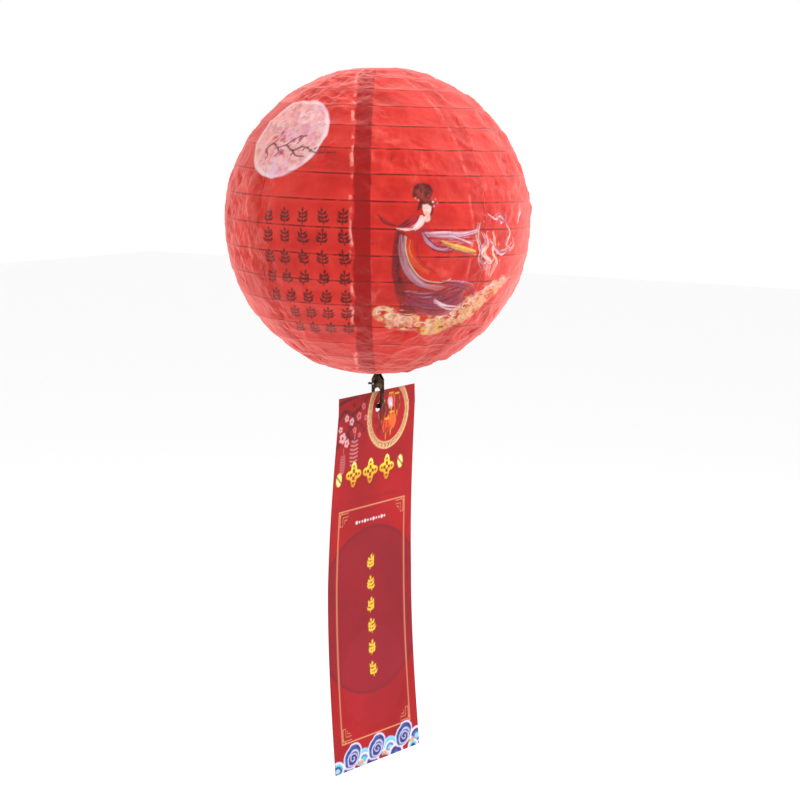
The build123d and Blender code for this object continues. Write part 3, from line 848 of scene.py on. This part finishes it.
def makePaper():
    material, tree, shader = newMaterial(
        "dyedRicePaper", Roughness=0.5, Sheen_Weight=1.0, Sheen_Roughness=0.5, Specular_IOR_Level=0.12,
    )
    shader.inputs["Sheen Tint"].default_value = paint("#FF9C96") + [1]
    addNode(tree, "ShaderNodeTexCoord", name="place")
    addNode(tree, "ShaderNodeAttribute", name="rib", attribute_name="ribPhase")
    addNode(tree, "ShaderNodeAttribute", name="lap", attribute_name="seamShare")
    addNode(tree, "ShaderNodeAttribute", name="lapDark", attribute_name="lapDarkness")
    addNode(tree, "ShaderNodeAttribute", name="fold", attribute_name="foldLift")
    addNode(tree, "ShaderNodeAttribute", name="print", attribute_name="ink")
    mottleScale = 1 / paperFacts["mottleSize"]
    addNode(
        tree, "ShaderNodeTexNoise",
        {"Vector": "place.Object", "Scale": mottleScale, "Detail": 5, "Roughness": 0.6}, name="mottle"
    )
    addNode(
        tree, "ShaderNodeTexNoise",
        {"Vector": "place.Object", "Scale": 1 / paperFacts["fibreSize"], "Detail": 3, "Distortion": 1.2},
        name="fibre"
    )
    addNode(
        tree, "ShaderNodeTexNoise",
        {"Vector": "place.Object", "Scale": 1 / paperFacts["patchSize"], "Detail": 4}, name="patches"
    )
    across, along = 1 / paperFacts["streakWidth"], 1 / paperFacts["streakLength"]
    addNode(
        tree, "ShaderNodeMapping", {"Vector": "place.Object", "Scale": (across, across, along)},
        name="streakPlace"
    )
    addNode(tree, "ShaderNodeTexNoise", {"Vector": "streakPlace", "Scale": 1, "Detail": 3}, name="streaks")
    pitch = shadeFacts["ribPitch"] * shadeFacts["radius"]
    addMaths(tree, (
        ("shifted", "ADD", "rib.Fac", 0.5),
        ("part", "FRACT", "shifted"),
        ("centred", "SUBTRACT", "part", 0.5),
        ("share", "ABSOLUTE", "centred"),
        ("ribGap", "MULTIPLY", "share", pitch),
        ("lapStir", "MULTIPLY_ADD", "streaks.Fac", 0.5, -0.25),
        ("lapShare", "ADD", "lap.Fac", "lapStir"),
    ))
    # the width of the painted shadow line along each rib
    width = paperFacts["ribShadowLineWidth"]
    # masks for painted light and shade: a shadow line along each rib with a painted highlight band beside
    # it, painted shade over each lap, a painted highlight along the lap's crease, a painted highlight on
    # raised folds and painted shade in sunk ones; the rib line and crease are broken up at random
    for name, source, low, high, start, end in (
        ("ribShadowLine", "ribGap", width * 0.55, width * 1.5, 1, 0),
        # a painted highlight band beside each rib line
        ("ribHighlight", "ribGap", width * 1.5, paperFacts["ribHighlightWidth"], 0.45, 0),
        ("ribFade", "patches.Fac", 0.38, 0.56, 0.45, 1),
        # painted shade over the doubled paper at each lap
        ("lapShadeBand", "lapShare", 0.9, 1.06, 1, 0),
        # a painted highlight along the crease at the lap's edge, broken up at random
        ("creaseRise", "lapShare", 1.0, 1.06, 0, 1),
        ("creaseFall", "lapShare", 1.12, 1.3, 1, 0),
        ("creaseBreak", "patches.Fac", 0.46, 0.6, 0, 0.75),
        # painted highlight on raised folds and painted shade in sunk folds, from the fold height
        ("foldHighlight", "fold.Fac", 0.3, 0.75, 0, 0.3),
        ("foldShade", "fold.Fac", -0.1, -0.5, 0, 0.6),
    ):
        addNode(
            tree, "ShaderNodeMapRange",
            {"Value": source, "From Min": low, "From Max": high, "To Min": start, "To Max": end},
            interpolation_type="SMOOTHSTEP", name=name,
        )
    for name, *terms in (
        ("line", "ribShadowLine", "ribFade"), ("crease1", "creaseRise", "creaseFall"),
        ("crease2", "crease1", "creaseBreak"), ("crease", "crease2", "lapDark.Fac"),
        ("band", "lapShadeBand", "lapDark.Fac"),
    ):
        addNode(tree, "ShaderNodeMath", dict(enumerate(terms)), operation="MULTIPLY", name=name)
    setRamp(
        addNode(tree, "ShaderNodeValToRGB", {"Fac": "mottle.Fac"}, name="colour0"),
        (0.32, paperFacts["darkRed"]), (0.5, paperFacts["red"]), (0.7, paperFacts["lightRed"]),
    )
    # painted light and shade laid over the dye's mottle, in order: rib highlight band, shade in sunk folds,
    # highlight on raised folds, lap shade, rib shadow line, lap crease highlight
    for name, below, factor, code in (
        ("colour1", "colour0", "ribHighlight", "lightRed"), ("colour2", "colour1", "foldShade", "foldShadeDark"),
        ("colour3", "colour2", "foldHighlight", "foldHighlightPink"), ("colour4", "colour3", "band", "lapShadeRed"),
        ("colour5", "colour4", "line", "ribShadowRed"), ("colour6", "colour5", "crease", "creaseHighlightPink"),
    ):
        addNode(
            tree, "ShaderNodeMixRGB",
            {"Fac": factor, "Color1": below, "Color2": paint(paperFacts[code]) + [1]}, name=name
        )
    addNode(tree, "ShaderNodeMath", {0: "print.Alpha", 1: 0.92}, operation="MULTIPLY", name="cover")
    addNode(
        tree, "ShaderNodeMixRGB", {"Fac": "cover", "Color1": "colour6", "Color2": "print.Color"},
        name="inked"
    )
    finishSurface(tree, shader, "inked", "fibre.Fac", (0.48, 0.68), 0.16, 0.15 * mm)
    return material


ricePaper = makePaper()

goreFacts = {
    "frontSpacing": 0.56 * mm, "backSpacing": 0.95 * mm, "creaseSize": 15 * mm, "fineCreaseSize": 5 * mm,
    "swayHeight": 1.4 * mm, "puckerReach": 15 * mm, "calmShare": 0.3, "patchSize": 60 * mm,
    "swaySize": 45 * mm, "bendReach": 11 * mm,
}


def makeGoreTree():
    # a sheet of paper between two seams of the globe: sunk between the ribs, puckered,
    # with a lap tab under its neighbour
    tree = bpy.data.node_groups.new("goreSheet", "GeometryNodeTree")
    sizes = (
        "Radius", "Top Latitude", "Sweep", "Seam", "Rib Pitch", "Rib Longitude", "Lap Width",
        "Lap Darkness", "Scallop", "Crumple", "Thickness", "Height",
    )
    for name in sizes:
        tree.interface.new_socket(name, in_out="INPUT", socket_type="NodeSocketFloat")
    for name in ("Columns", "Rows"):
        tree.interface.new_socket(name, in_out="INPUT", socket_type="NodeSocketInt")
    tree.interface.new_socket("Paper", in_out="INPUT", socket_type="NodeSocketMaterial")
    tree.interface.new_socket("Sheet", in_out="OUTPUT", socket_type="NodeSocketGeometry")
    addNode(tree, "NodeGroupInput", name="size")
    addNode(
        tree, "GeometryNodeMeshGrid",
        {"Size X": 1, "Size Y": 1, "Vertices X": "size.Columns", "Vertices Y": "size.Rows"}, name="grid",
    )
    addNode(tree, "GeometryNodeInputPosition", name="spot")
    addNode(tree, "ShaderNodeSeparateXYZ", {0: "spot"}, name="flat")
    addMaths(
        tree,
        (
            ("latitude0", "MULTIPLY", "flat.Y", 2),
            ("latitude", "MULTIPLY", "latitude0", "size.Top Latitude"),
            ("cosLatitude", "COSINE", "latitude"), ("sinLatitude", "SINE", "latitude"),
            ("ringRadius", "MULTIPLY", "cosLatitude", "size.Radius"),
            ("lapFull", "DIVIDE", "size.Lap Width", "ringRadius"), ("lapAngle", "MINIMUM", "lapFull", 0.35),
            ("start", "SUBTRACT", "size.Seam", "lapAngle"), ("reach", "ADD", "size.Sweep", "lapAngle"),
            ("across", "ADD", "flat.X", 0.5), ("longitude", "MULTIPLY_ADD", "across", "reach", "start"),
            ("cosLongitude", "COSINE", "longitude"), ("sinLongitude", "SINE", "longitude"),
            ("turned", "SUBTRACT", "longitude", "size.Rib Longitude"),
            ("turns", "DIVIDE", "turned", 2 * math.pi), ("pitches", "DIVIDE", "latitude", "size.Rib Pitch"),
            ("ribPhaseValue", "ADD", "pitches", "turns"), ("bay", "FRACT", "ribPhaseValue"),
            ("bayLeft", "SUBTRACT", 1, "bay"), ("bayProduct", "MULTIPLY", "bay", "bayLeft"),
            ("height", "ABSOLUTE", "latitude"), ("toMouth", "SUBTRACT", "size.Top Latitude", "height"),
            ("fade0", "MULTIPLY", "toMouth", 8), ("mouthFade", "MINIMUM", "fade0", 1),
            ("hollow0", "MULTIPLY", "bayProduct", 4), ("hollow", "MULTIPLY", "hollow0", "mouthFade"),
            ("loose", "POWER", "hollow", 0.6), ("seamEnd", "ADD", "size.Seam", "size.Sweep"),
            ("toEnd0", "SUBTRACT", "seamEnd", "longitude"), ("toEnd", "ABSOLUTE", "toEnd0"),
            ("toStart0", "SUBTRACT", "longitude", "size.Seam"), ("toStart", "ABSOLUTE", "toStart0"),
            ("toSeam", "MINIMUM", "toEnd", "toStart"), ("seamGap", "MULTIPLY", "toSeam", "ringRadius"),
            ("seamShareValue", "DIVIDE", "toEnd0", "lapAngle"),
            ("fadePower", "DIVIDE", "seamGap", -goreFacts["puckerReach"]),
            ("nearSeam", "EXPONENT", "fadePower"), ("onTab", "LESS_THAN", "toStart0", 0),
            ("tabStep", "MULTIPLY", "onTab", "size.Thickness"),
            ("dirX", "MULTIPLY", "cosLatitude", "cosLongitude"),
            ("dirY", "MULTIPLY", "cosLatitude", "sinLongitude"),
        )
    )
    addNode(tree, "ShaderNodeCombineXYZ", {0: "dirX", 1: "dirY", 2: "sinLatitude"}, name="direction")
    addNode(
        tree, "ShaderNodeVectorMath", {0: "direction", "Scale": "size.Radius"}, operation="SCALE",
        name="ballPlace"
    )
    for name, size, detail in (
        ("bendNoise", goreFacts["creaseSize"] * 0.8, 1), ("fineNoise", goreFacts["fineCreaseSize"], 2),
        ("patchNoise", goreFacts["patchSize"], 1), ("swayNoise", goreFacts["swaySize"], 0),
    ):
        addNode(
            tree, "ShaderNodeTexNoise",
            {"Vector": "ballPlace", "Scale": 1 / size, "Detail": detail, "Distortion": 0.4}, name=name
        )
    addNode(
        tree, "ShaderNodeVectorMath",
        {0: "bendNoise.Color", 1: [goreFacts["bendReach"]] * 3, 2: "ballPlace"}, operation="MULTIPLY_ADD",
        name="bentPlace"
    )
    for name, size in (
        ("facets", goreFacts["creaseSize"]), ("smallFacets", goreFacts["creaseSize"] * 0.45)
    ):
        addNode(tree, "ShaderNodeTexVoronoi", {"Vector": "bentPlace", "Scale": 1 / size}, name=name)
    addNode(
        tree, "ShaderNodeMapRange",
        {"Value": "patchNoise.Fac", "From Min": 0.42, "From Max": 0.6, "To Min": 0, "To Max": 0.95},
        interpolation_type="SMOOTHSTEP", name="patch",
    )
    addMaths(
        tree,
        (
            ("folds", "MULTIPLY_ADD", "facets.Distance", 1.7, -1.15),
            ("smallFolds", "MULTIPLY_ADD", "smallFacets.Distance", 0.55, "folds"),
            ("fineFolds", "MULTIPLY_ADD", "fineNoise.Fac", 0.6, "smallFolds"),
            ("stir0", "MAXIMUM", "nearSeam", "patch"), ("stir", "MAXIMUM", "stir0", goreFacts["calmShare"]),
            ("bent0", "MULTIPLY", "fineFolds", "stir"), ("foldValue", "MULTIPLY", "bent0", "loose"),
            ("bent", "MULTIPLY", "foldValue", "size.Crumple"),
            ("sway", "MULTIPLY", "swayNoise.Fac", goreFacts["swayHeight"]),
            ("slack", "MULTIPLY_ADD", "swayNoise.Fac", 1.6, 0.1),
            ("sunk0", "MULTIPLY", "hollow", "size.Scallop"), ("sunk", "MULTIPLY", "sunk0", "slack"),
            ("out0", "ADD", "size.Radius", "bent"), ("out1", "SUBTRACT", "out0", "sunk"),
            ("out2", "SUBTRACT", "out1", "tabStep"), ("out", "ADD", "out2", "sway"),
        )
    )
    addNode(
        tree, "ShaderNodeVectorMath", {0: "direction", "Scale": "out"}, operation="SCALE", name="ballPoint"
    )
    addNode(tree, "ShaderNodeCombineXYZ", {2: "size.Height"}, name="middle")
    addNode(tree, "ShaderNodeVectorMath", {0: "ballPoint", 1: "middle"}, operation="ADD", name="paperPoint")
    last = "grid"
    # attributes that the paper's painted shade and highlights follow: rib place, lap place, fold height and
    # lap shade strength
    for name, value in (
        ("ribPhase", "ribPhaseValue"), ("seamShare", "seamShareValue"), ("foldLift", "foldValue"),
        ("lapDarkness", "size.Lap Darkness")
    ):
        feeds = {"Geometry": last, "Name": name, "Value": value}
        last = addNode(tree, "GeometryNodeStoreNamedAttribute", feeds, data_type="FLOAT", domain="POINT")
    addNode(tree, "GeometryNodeSetPosition", {"Geometry": last, "Position": "paperPoint"}, name="shaped")
    # the cut edge of the paper
    addNode(tree, "GeometryNodeInputMeshEdgeNeighbors", name="edgeFaces")
    addNode(tree, "ShaderNodeMath", {0: "edgeFaces", 1: 1.5}, operation="LESS_THAN", name="atEdge")
    addNode(tree, "ShaderNodeVectorMath", {0: "spot", 1: "middle"}, operation="SUBTRACT", name="fromMiddle")
    addNode(tree, "ShaderNodeVectorMath", {0: "fromMiddle"}, operation="NORMALIZE", name="outward")
    addNode(tree, "ShaderNodeMath", {0: "size.Thickness", 1: -1}, operation="MULTIPLY", name="inward")
    addNode(
        tree, "ShaderNodeVectorMath", {0: "outward", "Scale": "inward"}, operation="SCALE", name="edgeMove"
    )
    addNode(
        tree, "GeometryNodeExtrudeMesh",
        {"Mesh": "shaped", "Selection": "atEdge", "Offset": "edgeMove", "Offset Scale": 1}, mode="EDGES",
        name="edged",
    )
    addNode(tree, "FunctionNodeBooleanMath", {0: "edged.Side"}, operation="NOT", name="face")
    addNode(
        tree, "GeometryNodeSetShadeSmooth",
        {"Geometry": "edged.Mesh", "Selection": "face", "Shade Smooth": True}, name="smoothed"
    )
    addNode(tree, "GeometryNodeRealizeInstances", {"Geometry": "smoothed"}, name="realized")
    addNode(
        tree, "GeometryNodeSetMaterial", {"Geometry": "realized", "Material": "size.Paper"}, name="papered"
    )
    addNode(tree, "NodeGroupOutput", {0: "papered"}, name="result")
    return tree


def growMesh(name, tree, values):
    # runs a node tree and keeps its result as a plain mesh
    host = bpy.data.objects.new(name, bpy.data.meshes.new(name + "Seed"))
    bpy.context.scene.collection.objects.link(host)
    modifier = host.modifiers.new("grow", "NODES")
    modifier.node_group = tree
    for item in tree.interface.items_tree:
        if item.item_type == "SOCKET" and item.in_out == "INPUT":
            modifier[item.identifier] = values[item.name]
    graph = bpy.context.evaluated_depsgraph_get()
    mesh = bpy.data.meshes.new_from_object(
        host.evaluated_get(graph), preserve_all_data_layers=True, depsgraph=graph
    )
    host.modifiers.clear()
    host.data = mesh
    mesh.name = name
    return host


def printInk(mesh, moon, sprigs, lady):
    # lays the prints on the globe at their real sizes
    places = np.zeros(len(mesh.vertices) * 3)
    mesh.vertices.foreach_get("co", places)
    places = places.reshape(-1, 3) - (0, 0, shadeMiddle)
    places /= np.linalg.norm(places, axis=1)[:, None]
    latitude = np.arcsin(places[:, 2])
    aside = (
        np.arctan2(places[:, 1], places[:, 0]) - shadeFacts["frontLongitude"] + math.pi
    ) % (2 * math.pi) - math.pi
    radius = shadeFacts["radius"] / mm
    around = radius * np.cos(latitude) * aside
    up = radius * latitude
    front = np.abs(aside) < 1.8
    ink = np.zeros((len(latitude), 4))
    for sheet in (sprigs, lady):
        found = readPrint(sheet, around, up)
        ink = np.where((found[:, 3] * front > ink[:, 3])[:, None], found, ink)
    moonEast = shadeFacts["frontLongitude"] + moonFacts["aside"]
    moonUp = moonFacts["latitude"]
    outward = np.array(
        [math.cos(moonUp) * math.cos(moonEast), math.cos(moonUp) * math.sin(moonEast), math.sin(moonUp)]
    )
    east = np.array([-math.sin(moonEast), math.cos(moonEast), 0])
    north = np.cross(outward, east)
    found = readPrint(moon, radius * places @ east, radius * places @ north)
    found[places @ outward < 0.6] = 0
    ink = np.where((found[:, 3] > ink[:, 3])[:, None], found, ink)
    layer = mesh.attributes.new("ink", "FLOAT_COLOR", "POINT")
    layer.data.foreach_set("color", ink.astype(np.float32).ravel())


moonFacts = {"aside": math.radians(-43), "latitude": math.radians(35.2)}
goreTree = makeGoreTree()
moonPrint, sprigPrint, ladyPrint = drawMoon(), drawSprigs(), drawLady()
for index in range(8):
    seam = shadeFacts["firstSeam"] + index * shadeFacts["goreSweep"]
    middle = seam + shadeFacts["goreSweep"] / 2
    facing = math.cos(middle - shadeFacts["frontLongitude"])
    spacing = goreFacts["frontSpacing"] if facing > 0.2 else goreFacts["backSpacing"]
    radius = shadeFacts["radius"]
    sheetPiece = growMesh(
        f"goreSheet{index + 1}", goreTree,
        {
            "Radius": radius, "Top Latitude": shadeFacts["topLatitude"], "Sweep": shadeFacts["goreSweep"],
            "Seam": seam, "Rib Pitch": shadeFacts["ribPitch"], "Rib Longitude": shadeFacts["ribLongitude"],
            "Lap Width": shadeFacts["lapWidth"],
            # the painted shade over this gore's lap, strongest on the gore facing the camera
            "Lap Darkness": shadeFacts["strongestLapShade"] if index == shadeFacts[
                "mostShadedLapGore"
            ] else shadeFacts["otherLapShade"],
            "Scallop": shadeFacts["scallopDepth"], "Crumple": shadeFacts["crumpleHeight"],
            "Thickness": shadeFacts["paperThickness"], "Height": shadeMiddle,
            "Columns": int((radius * shadeFacts["goreSweep"] + shadeFacts["lapWidth"]) / spacing),
            "Rows": int(2 * radius * shadeFacts["topLatitude"] / spacing), "Paper": ricePaper,
        }
    )
    printInk(sheetPiece.data, moonPrint, sprigPrint, ladyPrint)
    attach(sheetPiece, "shade")
    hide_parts(f"paper_gore_{index + 1}")
    print(sheetPiece.name, "has", len(sheetPiece.data.polygons), "faces")

# The riddle card: coated art board, offset printed and gloss laminated
# It gives smooth saturated colour under a clear skin
cardFacts = {
    "bow": 6.5 * mm, "twist": (3.9, -0.6, -1.7), "columnSpacing": 0.9 * mm, "rowSpacing": 0.6 * mm,
    "holeRadius": 3 * mm, "holeDrop": 11 * mm, "thickness": 0.6 * mm, "red": "#A20C14",
    "deepRed": "#900810", "flowSize": 40 * mm, "grainSize": 0.7 * mm, "punchReach": 0.45 * mm,
}


def makeLaminate():
    material, tree, shader = newMaterial(
        "laminatedArtBoard", Roughness=0.36, Coat_Weight=0.06, Coat_Roughness=0.1, Specular_IOR_Level=0.14,
    )
    addNode(tree, "ShaderNodeTexCoord", name="place")
    addNode(tree, "ShaderNodeAttribute", name="print", attribute_name="ink")
    addNode(
        tree, "ShaderNodeTexNoise",
        {"Vector": "place.Object", "Scale": 1 / cardFacts["flowSize"], "Detail": 3}, name="flow"
    )
    addNode(
        tree, "ShaderNodeTexNoise",
        {"Vector": "place.Object", "Scale": 1 / cardFacts["grainSize"], "Detail": 2}, name="grain"
    )
    setRamp(
        addNode(tree, "ShaderNodeValToRGB", {"Fac": "flow.Fac"}, name="ground"),
        (0.35, cardFacts["deepRed"]), (0.6, cardFacts["red"])
    )
    addNode(
        tree, "ShaderNodeMixRGB", {"Fac": "print.Alpha", "Color1": "ground", "Color2": "print.Color"},
        name="inked"
    )
    finishSurface(tree, shader, "inked", "grain.Fac", (0.38, 0.48), 0.06, 0.05 * mm)
    return material


def makeCard(material):
    # a thin board with a punched hole, slightly bowed and twisted by its own weight
    wide, tall = cardHigh.x - cardLow.x, cardHigh.z - cardLow.z
    columns, rows = round(wide / cardFacts["columnSpacing"]), round(tall / cardFacts["rowSpacing"])
    x, z = np.meshgrid(
        np.linspace(cardLow.x, cardHigh.x, columns + 1), np.linspace(cardHigh.z, cardLow.z, rows + 1)
    )
    x, z = x.ravel(), z.ravel()
    holeZ = cardHigh.z - cardFacts["holeDrop"]
    number = np.arange((rows + 1) * (columns + 1)).reshape(rows + 1, columns + 1)
    quads = np.stack(
        [number[1:, :-1], number[1:, 1:], number[:-1, 1:], number[:-1, :-1]], axis=-1
    ).reshape(-1, 4)
    away = np.hypot(x, z - holeZ)
    keep = np.hypot(x[quads].mean(1), z[quads].mean(1) - holeZ) > cardFacts["holeRadius"]
    quads = quads[keep]
    near = (away < cardFacts["holeRadius"] + cardFacts["punchReach"])
    reach = np.maximum(away, 1e-6)
    outward = np.where(near, cardFacts["holeRadius"] / reach, 1)
    x, z = x * outward, holeZ + (z - holeZ) * outward
    sides = np.concatenate([quads[:, [i, (i + 1) % 4]] for i in range(4)])
    ordered = np.sort(sides, axis=1)
    _, which, count = np.unique(ordered, axis=0, return_inverse=True, return_counts=True)
    rim = sides[count[which.ravel()] == 1]
    total = len(x)
    lips = np.stack([rim[:, 1], rim[:, 0], rim[:, 0] + total, rim[:, 1] + total], axis=1)
    faces = np.concatenate([quads, quads[:, ::-1] + total, lips])
    share = (cardHigh.z - z) / tall
    ink = readPrint(drawCard(), x / mm, (z - cardHigh.z) / mm)
    points = []
    for side in (-1, 1):
        y = side * cardFacts["thickness"] / 2
        turn = np.radians(np.interp(share, (0, 0.5, 1), cardFacts["twist"]))
        past = np.clip((share * tall - cardFacts["holeDrop"]) / (tall - cardFacts["holeDrop"]), 0, 1)
        bow = cardFacts["bow"] * np.sin(past * math.pi)
        points.append(
            np.stack(
                [x * np.cos(turn) - y * np.sin(turn), x * np.sin(turn) + y * np.cos(turn) + bow, z], axis=1
            )
        )
    used = np.unique(faces)
    renumber = np.zeros(2 * total, int)
    renumber[used] = np.arange(len(used))
    mesh = bpy.data.meshes.new("riddleCard")
    mesh.from_pydata(np.concatenate(points)[used].tolist(), [], renumber[faces].tolist())
    mesh.validate()
    layer = mesh.attributes.new("ink", "FLOAT_COLOR", "POINT")
    layer.data.foreach_set("color", np.concatenate([ink, ink * 0])[used].astype(np.float32).ravel())
    mesh.shade_smooth()
    mesh.set_sharp_from_angle(angle=math.radians(40))
    mesh.materials.append(material)
    card = bpy.data.objects.new("riddleCard", mesh)
    bpy.context.scene.collection.objects.link(card)
    return card


card = makeCard(makeLaminate())
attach(card, "card")
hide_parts("riddle_card")
print(card.name, "has", len(card.data.polygons), "faces")

# Metals for the carried-over frame pieces
metalFacts = {
    # varnished iron wire: dull grey-brown with faint drawing lines
    "varnishedIronWire": {
        "nodes": ("spiral_wire",),
        "dark": "#4A4440", "light": "#8C837B", "metallic": 0.8, "rough": 0.45, "size": 1.5 * mm,
    },
    # galvanised hoop wire: pale grey with cloudy zinc spangle
    "galvanisedWire": {
        "nodes": ("top_hoop", "bottom_hoop", "left_upright", "right_upright", "hanging_bar", "bottom_bar"),
        "dark": "#8E9294", "light": "#C9CCCD", "metallic": 0.95, "rough": 0.38, "size": 2 * mm,
    },
    # antique brass plate on zinc die casting, in random blotches from near-black brown to dull gold; the
    # near-black is painted dark reflection, deeper than the brass's own colour
    "brassWithPaintedReflection": {
        "nodes": ("swivel_eye", "swivel_rivet", "clasp_body", "clasp_gate"),
        "dark": "#140D0D", "light": "#6E5444", "metallic": 1, "rough": 0.16, "size": 4 * mm,
    },
    # ground steel pin: bright, with fine grinding lines
    "groundSteel": {
        "nodes": ("gate_pin",),
        "dark": "#8A8C90", "light": "#D5D7DA", "metallic": 1, "rough": 0.22, "size": 0.6 * mm,
    },
    # blued spring steel: dark, with a cool sheen
    "bluedSpringSteel": {
        "nodes": ("gate_spring",),
        "dark": "#2C3138", "light": "#6D7683", "metallic": 1, "rough": 0.3, "size": 0.8 * mm,
    },
}
for name, facts in metalFacts.items():
    material, tree, shader = newMaterial(name, Metallic=facts["metallic"])
    addNode(tree, "ShaderNodeTexCoord", name="place")
    addNode(
        tree, "ShaderNodeTexNoise",
        {"Vector": "place.Object", "Scale": 1 / facts["size"], "Detail": 4, "Roughness": 0.65}, name="cloud"
    )
    addNode(
        tree, "ShaderNodeTexNoise", {"Vector": "place.Object", "Scale": 5 / facts["size"], "Detail": 2},
        name="scratch"
    )
    setRamp(
        addNode(tree, "ShaderNodeValToRGB", {"Fac": "cloud.Fac"}, name="tone"), (0.36, facts["dark"]),
        (0.68, facts["light"])
    )
    rough = (facts["rough"] - 0.08, facts["rough"] + 0.1)
    finishSurface(tree, shader, "tone", "scratch.Fac", rough, 0.12, 0.04 * mm)
    for node in facts["nodes"]:
        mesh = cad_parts[node].data
        mesh.materials.clear()
        mesh.materials.append(material)
print("metals done")

springFacts = {"bentLength": 1.2 * mm, "bends": 8, "weld": 0.001 * mm}


def makeSpring():
    # the gate's leaf spring, cut across its slanted end at several heights
    leaf = bmesh.new()
    leaf.from_mesh(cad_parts["gate_spring"].data)
    bmesh.ops.remove_doubles(leaf, verts=leaf.verts, dist=springFacts["weld"])
    for cut in range(1, springFacts["bends"]):
        height = springLow.z + springFacts["bentLength"] * cut / springFacts["bends"]
        everything = leaf.verts[:] + leaf.edges[:] + leaf.faces[:]
        bmesh.ops.bisect_plane(leaf, geom=everything, plane_co=(0, 0, height), plane_no=(0, 0, 1))
    bmesh.ops.recalc_face_normals(leaf, faces=leaf.faces)
    mesh = bpy.data.meshes.new("gateLeafSpring")
    leaf.to_mesh(mesh)
    leaf.free()
    mesh.set_sharp_from_angle(angle=math.radians(30))
    spring = bpy.data.objects.new("gateLeafSpring", mesh)
    bpy.context.scene.collection.objects.link(spring)
    return spring


springLow, springHigh = (Vector(corner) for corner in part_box("gate_spring"))
gateSpring = makeSpring()
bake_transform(gateSpring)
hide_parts("gate_spring")
print("gate spring done")
